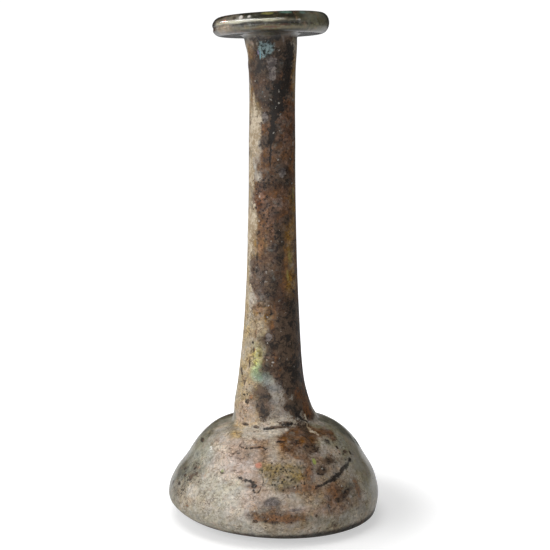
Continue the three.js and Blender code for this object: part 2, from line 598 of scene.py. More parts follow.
@dataclass(frozen=True)
class Patch:
    """One patch on the outside: its azimuth and height, its half-sizes along the surface, and its lean."""

    azimuth: float
    height: float
    wide: float
    tall: float
    lean: float = 0.0

    def depth(self, azimuth: np.ndarray, height: np.ndarray, radius: np.ndarray) -> np.ndarray:
        """How far inside the patch each point lies.

        Args:
            azimuth: The points' azimuths.
            height: Their heights.
            radius: Their distances from the axis.

        Returns:
            1 in the patch's middle, 0 on its edge and less outside.
        """
        turn = (azimuth - self.azimuth + 180) % 360 - 180
        across, up = np.radians(turn) * radius, height - self.height
        c, s = math.cos(math.radians(self.lean)), math.sin(math.radians(self.lean))
        across, up = c * across + s * up, c * up - s * across
        return 1 - np.hypot(across / self.wide, up / self.tall)


@dataclass(frozen=True)
class Wash:
    """A broad, soft-edged tint of the enamel or the glass; on the flanks and the rim some are painted shade,
    dark reflection and highlights.
    """

    patch: Patch
    colour: Colour
    strength: float = 0.85
    soft: float = 0.45

    def share(self, depth: np.ndarray) -> np.ndarray:
        """How much of the tint lies at each depth inside the patch."""
        return self.strength * smoothstep(-self.soft, self.soft, depth)


@dataclass(frozen=True)
class Ring:
    """A soft-edged tint all round the bottle at one height; round the rim these are painted shade, dark
    reflection and highlights, partly over the glass's own colour.
    """

    height: float
    reach: float
    colour: Colour
    strength: float

    def share(self, height: np.ndarray) -> np.ndarray:
        """How much of the tint lies at each height."""
        return self.strength * np.exp(-(((height - self.height) / self.reach) ** 2))


@dataclass(frozen=True)
class Crack:
    """A dark line on the outside through [azimuth, height] points, of a width in millimetres."""

    points: Stations
    width: float

    def share(self, azimuth: np.ndarray, height: np.ndarray, radius: np.ndarray) -> np.ndarray:
        """Distance from the line.

        Args:
            azimuth: The points' azimuths.
            height: Their heights.
            radius: Their distances from the axis.

        Returns:
            The distance at each point, as a share of the line's width.
        """
        nearest = np.full(len(azimuth), OFF_CRACK)
        for (a0, h0), (a1, h1) in zip(self.points, self.points[1:]):
            across, up = np.radians(azimuth - a0) * radius, height - h0
            run, rise = np.radians(a1 - a0) * radius, h1 - h0
            share = np.clip((across * run + up * rise) / (run**2 + rise**2), 0, 1)
            nearest = np.minimum(nearest, np.hypot(across - share * run, up - share * rise) / self.width)
        return nearest


@dataclass(frozen=True)
class Spot:
    """A small round fleck of one colour on the outside."""

    patch: Patch
    colour: Colour


@dataclass(frozen=True)
class Strewn:
    """How many patches are strewn over the half that faces away, from what height to what, and how large."""

    low: float
    high: float
    count: int
    size: float


def patches(*rows: Sequence[float]) -> tuple[Patch, ...]:
    """Several patches, one for each row of a patch's own numbers."""
    return tuple(Patch(*row) for row in rows)


def washes(*rows: Sequence[object]) -> tuple[Wash, ...]:
    """Several washes, one for each row: a patch's place and half-sizes, the wash's look, the patch's lean."""
    return tuple(Wash(Patch(*row[:4], *row[7:]), *row[4:7]) for row in rows)


ENAMEL = srgb(206, 195, 178)
# the deep glass colour stands for the olive glass together with a painted dark reflection along the body's
# flanks
BARE_GLASS, DEEP_GLASS_AND_DARK_REFLECTION, FLANK_GLASS = srgb(118, 116, 98), srgb(80, 78, 60), srgb(152, 147, 125)
PALE, PINKISH, GREENISH = srgb(170, 158, 142), srgb(190, 166, 152), srgb(176, 174, 156)
BEIGE, HONEY, TAN = srgb(196, 174, 136), srgb(166, 130, 80), srgb(142, 118, 90)
PITTED, EARTH, BARK = srgb(144, 126, 88), srgb(108, 78, 52), srgb(74, 52, 37)
SOOT, SMOKE, ORANGE_EARTH = srgb(38, 32, 26), srgb(98, 82, 70), srgb(122, 84, 54)
UMBER_EARTH, RED_EARTH, SLATE_GREY = srgb(112, 80, 58), srgb(108, 68, 48), srgb(82, 78, 76)
# the black colour stands for dark glass together with painted shade and painted dark reflection; the pale
# roll colour stands for paler worn glass together with painted highlights and reflection
RIM_GLASS, BLACK_GLASS_AND_SHADE, ROLL_GLASS_AND_HIGHLIGHT = srgb(70, 68, 50), srgb(22, 22, 17), srgb(124, 116, 88)
WHITE, PINK = srgb(220, 214, 206), srgb(206, 132, 108)
LIME, GREEN, CYAN = srgb(160, 172, 86), srgb(112, 160, 96), srgb(132, 186, 200)
AMBER, LILAC, NAVY = srgb(196, 124, 54), srgb(158, 148, 184), srgb(52, 62, 98)

# each row: azimuth, height, half-sizes, colour, strength, softness and lean, in the order of painting
WASHES = washes(
    # body, from the far left round to the far right
    # the deep glass washes here at the far left, and lower down at the far right, are the glass's colour with
    # a painted dark reflection along the flanks
    (-95, 17, 18, 20, DEEP_GLASS_AND_DARK_REFLECTION, 0.9, 0.5), (-74, 15, 12, 12, BARE_GLASS, 0.75, 0.5),
    (-84, 29, 8, 2.4, DEEP_GLASS_AND_DARK_REFLECTION, 0.7, 0.5), (-38, 9, 20, 7, PALE, 0.6), (-40, 6, 24, 4, GREENISH, 0.4),
    (-30, 17, 9, 4, GREENISH, 0.5), (-66, 24, 7, 4, GREENISH, 0.6), (-22, 24, 10, 6, PINKISH, 0.8),
    (-12, 16.6, 7, 3, PINKISH, 0.6), (-24, 26, 3, 2, SMOKE, 0.4), (-40, 29, 8, 1.6, PINKISH, 0.5),
    (22, 21, 17, 10, TAN, 0.65, 0.4), (-12, 28, 12, 2.4, TAN, 0.4, 0.5), (30, 9, 14, 5, TAN, 0.45, 0.5),
    (20, 8.6, 16, 3, TAN, 0.5, 0.5), (5, 21.4, 8, 4.2, PITTED, 0.85, 0.25),
    (22, 20, 3, 4, ORANGE_EARTH, 0.4, 0.5), (18, 27, 6, 1.2, ORANGE_EARTH, 0.45, 0.4, -24),
    (22, 25, 1.6, 3.4, ORANGE_EARTH, 0.4, 0.4), (29, 27.5, 4.4, 3, SMOKE, 0.5, 0.4),
    (20, 30.8, 8, 0.9, EARTH, 0.3, 0.4), (37, 24, 5, 3, SMOKE, 0.45, 0.5), (50, 18, 4, 2.6, PALE, 0.5, 0.4),
    (42, 27, 4.4, 2.4, PALE, 0.7, 0.4), (34, 19.4, 4, 1.4, PALE, 0.5, 0.4, 14),
    (50, 23.4, 3, 3, PALE, 0.45, 0.4), (30, 11, 6, 2, PINKISH, 0.45, 0.4),
    (44, 11.5, 6, 3.4, EARTH, 0.45, 0.4), (35, 15.8, 3, 3, ORANGE_EARTH, 0.6, 0.5),
    (53, 15, 2, 4, ORANGE_EARTH, 0.4, 0.5), (43, 14.6, 4, 2, SMOKE, 0.7, 0.4, 12),
    (2, 10.2, 9, 1.8, EARTH, 0.8, 0.4), (14, 12.2, 5, 1, PINKISH, 0.4, 0.5),
    (-3, 13.8, 3.4, 1.6, SMOKE, 0.6, 0.4), (34, 7, 12, 2.4, GREENISH, 0.5, 0.5),
    (72, 18, 11, 13, FLANK_GLASS, 0.8, 0.5), (98, 15, 10, 16, DEEP_GLASS_AND_DARK_REFLECTION, 0.7, 0.5),
    (64, 29.6, 10, 3.4, FLANK_GLASS, 0.95, 0.3), (86, 28, 5, 3, DEEP_GLASS_AND_DARK_REFLECTION, 0.6, 0.4),
    (64, 27.5, 4, 1.4, GREENISH, 0.5, 0.5, 20),
    # neck, from its foot up
    (30, 99, 15, 65, EARTH, 1.0, 0.14), (-38, 52, 9.2, 18.6, BEIGE, 0.95, 0.16),
    (-86, 52, 4, 24, GREENISH, 0.7, 0.6), (-46, 64, 5, 7, PALE, 0.5, 0.5),
    (-50, 37, 6, 3, PINKISH, 0.6, 0.5), (-14, 56, 3.4, 7, srgb(172, 170, 144), 0.6, 0.5),
    (-27, 53.6, 1.9, 4.6, srgb(216, 210, 146), 0.8, 0.7),
    (-20, 50, 2.6, 2.2, srgb(136, 180, 134), 0.65, 0.7), (-9, 48, 3.2, 2.0, srgb(118, 148, 146), 0.65, 0.7),
    (1, 46, 3.4, 1.7, srgb(112, 120, 126), 0.75, 0.5), (8, 41, 5, 5, SMOKE, 0.7, 0.5),
    (-12, 40.6, 3.4, 5, SMOKE, 0.6, 0.5), (-10, 68, 4, 4, HONEY, 0.5, 0.5),
    (46, 58, 11, 17, BARK, 0.95, 0.2), (30, 70, 4, 8, BARK, 0.7, 0.3), (58, 40, 6, 6, BARK, 0.9, 0.3),
    (50, 42, 3, 7, ORANGE_EARTH, 0.5, 0.5), (43, 57, 1.6, 4, HONEY, 0.6, 0.5),
    (62, 66, 1.6, 9, ORANGE_EARTH, 0.4, 0.5), (42, 74, 4, 4, ORANGE_EARTH, 0.5, 0.5),
    (-18, 84, 7, 9, SMOKE, 0.85, 0.3), (8, 78, 5, 6, BARK, 0.7, 0.4), (20, 90, 3, 8, BARK, 0.8, 0.4),
    (-78, 84, 3.4, 40, BEIGE, 0.9, 0.5), (-56, 98, 3, 9, BEIGE, 0.8, 0.4), (-30, 96, 2, 6, HONEY, 0.5, 0.5),
    (44, 85, 3, 11, HONEY, 0.85, 0.4, 4), (42, 95, 3.4, 3, HONEY, 0.6, 0.5),
    (2, 104, 7, 8, UMBER_EARTH, 0.8, 0.4), (-34, 108, 2.6, 4, RED_EARTH, 0.6, 0.5),
    (66, 106, 2.4, 14, HONEY, 0.6, 0.5), (10, 114, 7, 6, BARK, 0.7, 0.4),
    (24, 116, 2.6, 4, SLATE_GREY, 0.5, 0.5), (0, 144, 8.6, 17, SOOT, 0.85, 0.16),
    (-52, 149, 5, 8, BARK, 0.85, 0.25), (0, 152, 4, 4, BLACK_GLASS_AND_SHADE, 0.5, 0.4),
    (-32, 147, 4, 6, BARK, 0.7, 0.4), (-26, 143, 3, 3, SMOKE, 0.4, 0.5),
    (48, 134, 4, 13, UMBER_EARTH, 0.85, 0.25, 8), (40, 122, 3, 5, UMBER_EARTH, 0.5, 0.5),
    (-18, 132, 3, 3, SMOKE, 0.8, 0.4), (72, 146, 3.4, 9, HONEY, 0.6, 0.4),
    (68, 144, 1.6, 6, BEIGE, 0.6, 0.5), (60, 135, 2, 8, UMBER_EARTH, 0.7, 0.4),
    (-72, 126, 4, 12, BEIGE, 0.9, 0.4), (-64, 153, 2, 3.4, HONEY, 0.5, 0.5),
    (-60, 141, 1.2, 4, HONEY, 0.5, 0.5), (10, 156.4, 9, 2, BLACK_GLASS_AND_SHADE, 0.8, 0.5),
)

# on the rim: the pale patch low on the left end is a painted highlight; the thin pale line above the seam is
# a painted highlight over partly worn paler glass; the band on the lower roll is a painted reflection over
# partly paler glass; the black patches at both ends are painted dark reflection at the rim's edges
RIM_WASHES_AND_PAINTED_LIGHT = washes(
    (-46, 163, 7, 1.0, srgb(128, 120, 104), 0.7, 0.5), (-66, 160.2, 7, 2.2, srgb(164, 150, 132), 0.8, 0.5),
    (56, 161.4, 8, 2.4, srgb(134, 132, 110), 0.8, 0.5),
    (-22, 162.1, 13, 0.3, srgb(226, 222, 196), 0.9, 0.35),
    (6, 159.9, 9, 0.5, srgb(164, 146, 104), 0.35, 0.5), (-90, 161.5, 5.4, 5, BLACK_GLASS_AND_SHADE, 0.9, 0.4),
    (90, 161.5, 5.4, 5, BLACK_GLASS_AND_SHADE, 0.9, 0.4),
)

# rings round the rim, from below up: a dark band at the rim's lower edge; a pale band on the lower roll,
# painted reflection over partly paler glass; a dark band in the seam's groove, dirt with painted shade; a
# pale band above the seam, painted highlight over partly worn paler glass; two dark bands near the top,
# painted dark reflection
RINGS = (
    Ring(158.8, 0.4, BLACK_GLASS_AND_SHADE, 0.8),
    Ring(159.9, 0.5, ROLL_GLASS_AND_HIGHLIGHT, 0.8),
    Ring(161.1, 0.3, BLACK_GLASS_AND_SHADE, 0.95),
    Ring(162.1, 0.3, ROLL_GLASS_AND_HIGHLIGHT, 0.7),
    Ring(163.2, 0.5, BLACK_GLASS_AND_SHADE, 0.7),
    Ring(164.5, 0.9, BLACK_GLASS_AND_SHADE, 0.85),
)

# each row: azimuth, height, half-sizes and lean
PATCHES: dict[Layer, tuple[Patch, ...]] = {
    Layer.RUST: patches(
        (16, 101, 4, 1.2, 20), (-27, 95, 1.2, 7), (-22, 129.2, 1.6, 1.3), (2, 66, 0.9, 6), (7, 58, 0.9, 5),
        (18, 50.4, 1, 3), (57, 41, 4, 6), (33, 89, 0.8, 6), (25, 80, 1, 4), (15, 26.5, 2.2, 0.4, -20),
        (22, 21.4, 1.4, 2.4), (35, 16, 1.6, 2.0), (53, 14.5, 1.0, 3), (3, 9.6, 6, 1.1),
        (-14, 28.8, 2.0, 0.4), (17, 29.4, 1.4, 0.3, -40), (-14, 18.4, 3, 0.6), (14, 18, 6, 0.9),
        (36, 86, 1, 5), (-34, 41.4, 0.9, 0.9), (-34, 62.6, 0.5, 1.2), (-52, 9.4, 0.8, 0.3),
        (-58, 139, 0.6, 3), (60, 114, 1.2, 7),
    ),
    Layer.CREAM: patches(
        (-66, 97, 3, 9), (-58, 127, 3, 8.5), (-53, 77, 1.3, 2.2), (-47, 101, 1.2, 4), (-66, 115, 2, 5),
        (-52, 136, 0.8, 4), (-40, 131, 2, 2.4), (46, 33.6, 1, 2.4, -24),
    ),
    Layer.UMBER: patches(
        (23, 61, 4.2, 11), (46, 64, 4.4, 10), (34, 49, 3.4, 7), (33, 38.6, 3.0, 4.4), (60, 50, 2, 7),
        (19, 90, 1.7, 7), (10, 96, 0.7, 4), (-6, 78, 2, 4), (23, 113.6, 2.6, 2.6), (-12, 113, 1.3, 1.6),
        (-18, 111, 1, 0.8), (33, 99, 1.4, 1.8), (22, 153, 3.4, 3.6), (-38, 154, 0.9, 1.2),
        (-30, 148, 3, 2.4), (-20, 125, 1.9, 2), (-15, 136.2, 0.7, 0.7), (-8, 153.6, 0.8, 1.4),
        (12, 157, 9, 1.2), (-20, 84, 0.5, 1.2), (-36, 88, 0.3, 1.6), (-12, 43.6, 2.0, 2.6),
        (-13, 38.2, 1.9, 2.3), (-16, 41, 1, 1), (-36, 63.2, 0.4, 0.5), (-38, 60, 0.5, 0.5),
        (-12, 68.8, 0.2, 1), (-8, 69, 0.2, 0.8), (-35, 57.6, 0.3, 1), (-43, 53, 0.3, 1.5),
        (-66, 50.4, 0.8, 0.7), (-60, 48.6, 1.2, 0.4, -40), (-51, 46.4, 0.3, 1), (-40, 40.6, 0.8, 0.7),
        (-44, 42.4, 0.4, 0.4), (-52, 38.6, 0.3, 0.4), (-55, 36.2, 0.4, 0.3), (18, 50, 0.5, 0.3),
        (29, 28.4, 2.4, 1.3), (38, 24.6, 2.2, 1), (30, 22.2, 2, 1.3), (57.5, 22.3, 0.9, 0.8),
        (43, 14.2, 3, 0.9, 20), (37, 13.2, 1.4, 0.7), (22.5, 9.8, 0.5, 1, 40), (30, 9.6, 0.4, 0.3),
        (37, 32, 2.2, 0.8, 30), (-75, 26.8, 1.8, 0.5), (-59, 17.4, 1.1, 0.9), (-61, 19.6, 0.8, 0.6),
        (-68, 13.8, 0.8, 0.6), (-56, 18.6, 0.6, 0.5), (-50, 17, 0.3, 0.4), (-66, 16.6, 0.9, 0.4),
        (-62, 14, 0.4, 0.3), (-72, 18, 0.9, 0.5), (-78, 12.4, 1.2, 0.6), (-36, 21, 0.8, 0.4),
        (-36, 23, 0.3, 0.3), (57, 25.2, 0.7, 0.5), (52, 26.8, 0.5, 0.4), (62, 24.4, 0.5, 0.6),
        # the patches near height 33 on this line and the next lie along the crease where the neck meets the
        # body: dark crust with painted shade in the crease
        (0, 33.2, 1.6, 0.5), (9, 33.4, 1.2, 0.6), (17, 34.1, 2, 0.8), (-24, 33, 1.4, 0.4),
        (-42, 33.4, 1.4, 0.5), (-16, 18.6, 0.6, 0.35), (0, 8.8, 2, 0.4), (-9, 8.9, 0.8, 0.4),
    ),
    Layer.SLATE: patches(
        (0, 149.4, 2.0, 1.9), (-1, 147, 1.4, 2.8), (-1, 14.4, 2.2, 1.2), (12, 12.3, 2.4, 0.4),
        (-19, 132.4, 1.1, 1.6), (-5, 62, 1.1, 1.4), (25, 115, 1.2, 1.4), (-50, 47.6, 0.9, 0.6),
    ),
    Layer.GOLD: patches((46, 87.5, 0.8, 2.4), (37, 82, 0.5, 1.6), (62, 108, 0.6, 3)),
    Layer.TEAL: patches((-20, 153.6, 2.0, 2.6), (-6, 154.4, 1.4, 1.8)),
}

STREWN = {Layer.RUST: Strewn(6, 150, 40, 3.0), Layer.UMBER: Strewn(8, 150, 46, 1.8)}

# each row: azimuth, height, half-sizes and colour
SPOTS = tuple(Spot(Patch(*place), colour) for *place, colour in (
    (-11.5, 24.2, 1.2, 0.9, PINK), (27, 24.9, 0.7, 1.0, LIME), (3, 53.4, 0.6, 0.5, WHITE),
    (13, 44.2, 0.6, 0.4, NAVY), (19, 63.4, 0.32, 0.32, WHITE), (-23, 140.3, 0.35, 0.5, CYAN),
    (-22, 137.4, 0.4, 0.3, GREEN), (-34, 152.8, 0.4, 1.0, LILAC), (-29, 152, 0.35, 2.0, CYAN),
    (-21, 129.1, 0.5, 0.4, AMBER), (-15, 127.4, 0.3, 0.35, WHITE), (-38, 125.4, 0.3, 0.4, WHITE),
    (-33, 57.5, 0.25, 0.6, AMBER), (-33, 41.6, 0.4, 0.4, AMBER), (62, 124.4, 0.4, 0.7, WHITE),
    (-3, 81.9, 0.3, 0.3, WHITE), (-36, 21.6, 0.8, 0.6, srgb(160, 168, 116)), (-72, 26.6, 1.1, 0.35, SOOT),
    (-62, 24.2, 0.35, 0.5, SOOT), (-58, 20.8, 0.5, 0.35, SOOT), (-64, 18.2, 0.6, 0.3, SOOT),
    (-60, 16.2, 0.45, 0.6, SOOT), (-70, 14.2, 0.5, 0.3, SOOT), (-79, 12.6, 0.6, 0.3, SOOT),
    (-67, 21.5, 0.3, 0.4, SOOT), (-50, 162.8, 1.1, 0.7, PINK), (-38, 163.2, 0.9, 0.6, SOOT),
    (-30, 163.4, 0.9, 0.6, WHITE), (-21, 163.4, 0.7, 0.5, WHITE), (-3, 164.1, 2.0, 0.5, srgb(122, 118, 66)),
    (16, 164.2, 2.2, 0.5, srgb(88, 118, 104)), (34, 164, 1.4, 0.5, srgb(96, 116, 108)),
    (0, 160.0, 3.4, 0.3, srgb(108, 70, 56)), (-14, 159.5, 2.4, 0.3, srgb(104, 80, 56)),
    (14, 160.6, 2.6, 0.25, srgb(96, 66, 54)),
))

PITTED_PLACES = patches(
    (5, 21.4, 8, 4.4), (-68, 15, 8, 8), (-34, 108, 3, 6), (-12, 112, 4, 4), (-20, 96, 3, 6), (60, 25, 6, 4),
    (-48, 42, 4, 6), (-10, 100, 3, 8), (2, 9.5, 7, 1.6),
)

# each row the line's width, then its points; the lines from height 32.5 up to 37 run along the crease where
# the neck meets the body, and are dirt with painted shade in the crease
CRACKS_AND_CREASE_SHADE = tuple(Crack(tuple(points), width) for width, *points in (
    (0.5, (24, 17.7), (30, 18.4), (36, 19.2)), (0.95, (36, 19.2), (43, 20.2), (48, 21.1), (52, 21.4)),
    (0.6, (52, 21.4), (58, 22.6)), (0.5, (-24, 20.6), (-19, 19.8), (-15, 19.6), (-12, 18.6)),
    (0.17, (-50, 33.6), (-40, 33.1), (-30, 32.8), (-22, 32.6)), (0.45, (-13, 32.6), (-6, 32.8), (-1, 33.0)),
    (0.15, (4, 33.3), (11, 33.4)), (0.5, (17, 33.8), (24, 33.9)), (0.2, (27, 33.6), (36, 33.0)),
    (0.22, (28, 31.5), (31, 30.2), (33, 28.6)), (0.2, (2, 30.4), (6, 30.4), (10, 30.1)),
    (0.25, (-20, 28.6), (-12, 28.8), (-6, 28.2)), (0.2, (-34, 26.4), (-28, 26.8), (-24, 26.2)),
    (0.25, (-16, 20.4), (-13, 17.6), (-10, 16.6)), (2.5, (50, 154), (46, 150), (36, 145), (27, 140.4)),
    (2.4, (27, 140.4), (14, 136), (7, 133.4)), (1.2, (7, 133.4), (2, 129), (-3, 124.9)),
    (1.9, (14, 142), (9, 136), (7, 133)), (0.3, (-9, 23.2), (-8, 20), (-9, 17.4)),
    (0.3, (17, 25.2), (17, 21), (18, 18.6)), (0.3, (-30, 28.8), (-24, 28.2), (-18, 28.6)),
    (0.4, (-3, 125), (-5, 117.4)), (0.5, (34, 36.8), (42, 34.6), (50, 33.4)),
))

@dataclass(frozen=True)
class Places:
    """Where the painted points lie on the true round form, and how soft waves pull each of them aside."""

    azimuth: np.ndarray
    height: np.ndarray
    radius: np.ndarray
    wander_x: np.ndarray
    wander_z: np.ndarray
    pull_share = 0.5
    pull_limit = 4

    def pulled(self, size: float) -> tuple[np.ndarray, np.ndarray]:
        """Azimuths and heights, pulled out of true by waves of a size in millimetres."""
        azimuth = self.azimuth + np.degrees(self.wander_x * size / self.radius)
        return azimuth, self.height + self.wander_z * size

    def depth(self, *given: Patch) -> np.ndarray:
        """Depth of each point inside the nearest of several patches.

        Args:
            given: The patches, whose edges the waves pull out of true.

        Returns:
            The depth at each point, 1 at most.
        """
        deepest = np.full(len(self.azimuth), OFF_PATCH)
        for patch in given:
            size = self.pull_share * min(patch.wide, patch.tall, self.pull_limit)
            azimuth, height = self.pulled(size)
            deepest = np.maximum(deepest, patch.depth(azimuth, height, self.radius))
        return deepest


@dataclass
class Painter:
    """Works out where each layer lies on the bottle and writes it on the mesh for the finish to read."""

    form: BottleForm
    seed: int = 11
    wave_size: float = 5.0
    crack_wave: float = 0.35
    ragged_size: float = 6.0
    ragged: float = 0.45
    # the foot's band, in the black colour: painted shade and dark reflection where the foot turns under, its
    # strength and the heights that it fades out between
    foot_shade: float = 0.92
    foot_shade_heights: Pair = (3.2, 4.9)
    flanks: tuple[Patch, ...] = patches((86, 17, 18, 18), (-98, 17, 19, 18))
    flank_bareness: float = 0.7
    foot_bareness: float = 0.2
    seam_dirt: Triple = (0.95, 0.4, 0.55)
    least_pitting: float = 0.25

    def paint(self, mesh: bpy.types.Mesh, points: np.ndarray, outer: np.ndarray) -> dict[Layer, np.ndarray]:
        """Writes every layer's depth on the mesh.

        Args:
            mesh: The bottle's mesh.
            points: Its points on the true round form, in millimetres.
            outer: Which points are on the outside.

        Returns:
            The depth of each layer at each point.
        """
        x, y, z = points.T
        waves = (SoftNoise(self.seed + i).at(points, self.wave_size) for i in range(2))
        places = Places(np.degrees(np.arctan2(x, -y)), z, np.maximum(np.hypot(x, y), 1.0), *waves)
        depths = {layer: places.depth(*rows) for layer, rows in PATCHES.items()}
        for layer, strewn in STREWN.items():
            depths[layer] = np.maximum(depths[layer], places.depth(*self.back_patches(strewn)))
        for layer, depth in depths.items():
            self.write(mesh, layer.name.lower(), np.where(outer, depth, OFF_PATCH))
        # the crack lines include the dark lines along the neck's crease, dirt with painted shade in the
        # crease
        lines = (crack.share(*places.pulled(self.crack_wave), places.radius) for crack in CRACKS_AND_CREASE_SHADE)
        self.write(mesh, "crack", np.where(outer, np.minimum.reduce([*lines]), OFF_CRACK))
        self.write_colour(mesh, "wash", self.tint(points, places))
        self.write(mesh, "bare", self.bareness(places) * outer)
        thick = smoothstep(-0.4, 0.5, places.depth(*PITTED_PLACES))
        self.write(mesh, "pitting", self.least_pitting + (1 - self.least_pitting) * thick)
        self.paint_spots(mesh, places, outer)
        return depths

    def tint(self, points: np.ndarray, places: Places) -> np.ndarray:
        """Works out the broad colour of the enamel and the glass, with painted shade and dark reflection
        where the foot turns under, painted shade, dark reflection and highlights on the rim, and painted dark
        reflection on the flanks.

        Args:
            points: The points on the true round form.
            places: Where they lie.

        Returns:
            One colour a point.
        """
        frayed = SoftNoise(self.seed + 2).at(points, self.ragged_size, 5) * self.ragged
        # painted shade and dark reflection where the foot turns under, fading out upwards
        foot = self.foot_shade * (1 - smoothstep(*self.foot_shade_heights, places.height + frayed))
        rim = smoothstep(self.form.neck[-1][1], self.form.rim_underside, places.height)

        def shares(tints: Iterable[Wash]) -> Iterable[tuple[np.ndarray, Colour]]:
            """Each wash's share at every point, with its colour."""
            return ((wash.share(places.depth(wash.patch) + frayed), wash.colour) for wash in tints)

        colour = np.tile(ENAMEL, (len(points), 1))
        for share, tint in (
            *shares((*WASHES, *self.back_washes())),
            (foot, BLACK_GLASS_AND_SHADE),
            (rim, RIM_GLASS),
            *((ring.share(places.height), ring.colour) for ring in RINGS),
            *shares(RIM_WASHES_AND_PAINTED_LIGHT),
        ):
            colour += share[:, None] * (np.array(tint) - colour)
        return colour

    def back_washes(self) -> list[Wash]:
        """Broad tints strewn over the half that faces away."""
        draw = np.random.default_rng(self.seed + 3).uniform
        body = [
            Wash(Patch(draw(120, 240), draw(4, 30), *draw(4, 10, 2)), colour, 0.6)
            for colour in (PALE, PINKISH, TAN, GREENISH, BARE_GLASS, EARTH, PALE, SMOKE)
        ]
        neck = [
            Wash(Patch(draw(110, 250), draw(36, 155), draw(3, 7), draw(6, 16)), colour)
            for colour in (BARK, BEIGE, EARTH, SOOT, HONEY, SMOKE, BARK, EARTH, BEIGE, SOOT)
        ]
        return body + neck

    def back_patches(self, strewn: Strewn) -> list[Patch]:
        """Patches strewn over the half that faces away."""
        low, high, size = strewn.low, strewn.high, strewn.size
        draw = np.random.default_rng(self.seed + int(10 * size)).uniform
        return [
            Patch(draw(95, 265), draw(low, high), *(size * draw(0.4, 1.3, 2)), draw(-40, 40))
            for _ in range(strewn.count)
        ]

    def bareness(self, places: Places) -> np.ndarray:
        """Where the glass is bare and glossy, from 0 to 1: the rim, the foot's edge and the body's flanks."""
        share, below, reach = self.seam_dirt
        dirt = share * np.exp(-(((places.height - self.form.seam_height + below) / reach) ** 2))
        rim = smoothstep(self.form.neck[-1][1] - 2, self.form.rim_underside, places.height) * (1 - dirt)
        foot = self.foot_bareness * (1 - smoothstep(0.5, 2.5, places.height))
        flanks = self.flank_bareness * smoothstep(-0.3, 0.5, places.depth(*self.flanks))
        return np.maximum.reduce([rim, foot, flanks])

    def paint_spots(self, mesh: bpy.types.Mesh, places: Places, outer: np.ndarray) -> None:
        """Writes the small coloured flecks: how deep inside one a point is, and that one's colour.

        Args:
            mesh: The bottle's mesh.
            places: Where its points lie.
            outer: Which points are on the outside.
        """
        depth = np.full(len(outer), OFF_PATCH)
        colour = np.ones((len(outer), 4))
        for spot in SPOTS:
            here = places.depth(spot.patch)
            colour[here > depth] = spot.colour
            depth = np.maximum(depth, here)
        self.write(mesh, "spot", np.where(outer, depth, OFF_PATCH))
        self.write_colour(mesh, "spot_colour", colour)

    @staticmethod
    def write_colour(mesh: bpy.types.Mesh, name: str, colours: np.ndarray) -> None:
        """Writes one colour a point on the mesh."""
        layer = mesh.attributes.new(name, "FLOAT_COLOR", "POINT")
        layer.data.foreach_set("color", colours.astype(np.float32).ravel())

    @staticmethod
    def write(mesh: bpy.types.Mesh, name: str, values: np.ndarray) -> None:
        """Writes one number a point on the mesh."""
        layer = mesh.attributes.new(name, "FLOAT", "POINT")
        layer.data.foreach_set("value", values.astype(np.float32))


@dataclass(frozen=True)
class Cloud:
    """Cloudy noise about 0: its clouds' size in millimetres, its detail, and where in the noise it lies."""

    size: float
    detail: float
    roughness: float
    shift: float = 0.0
    stretch: Triple = (1, 1, 1)


@dataclass(frozen=True)
class Cells:
    """Scattered cells, of a size in millimetres, and where among them the sheet lies."""

    size: float
    shift: float = 0.0


@dataclass(frozen=True)
class Ramp:
    """A smooth rise from start to end, as a value goes from low to high."""

    low: float
    high: float
    start: float = 0.0
    end: float = 1.0


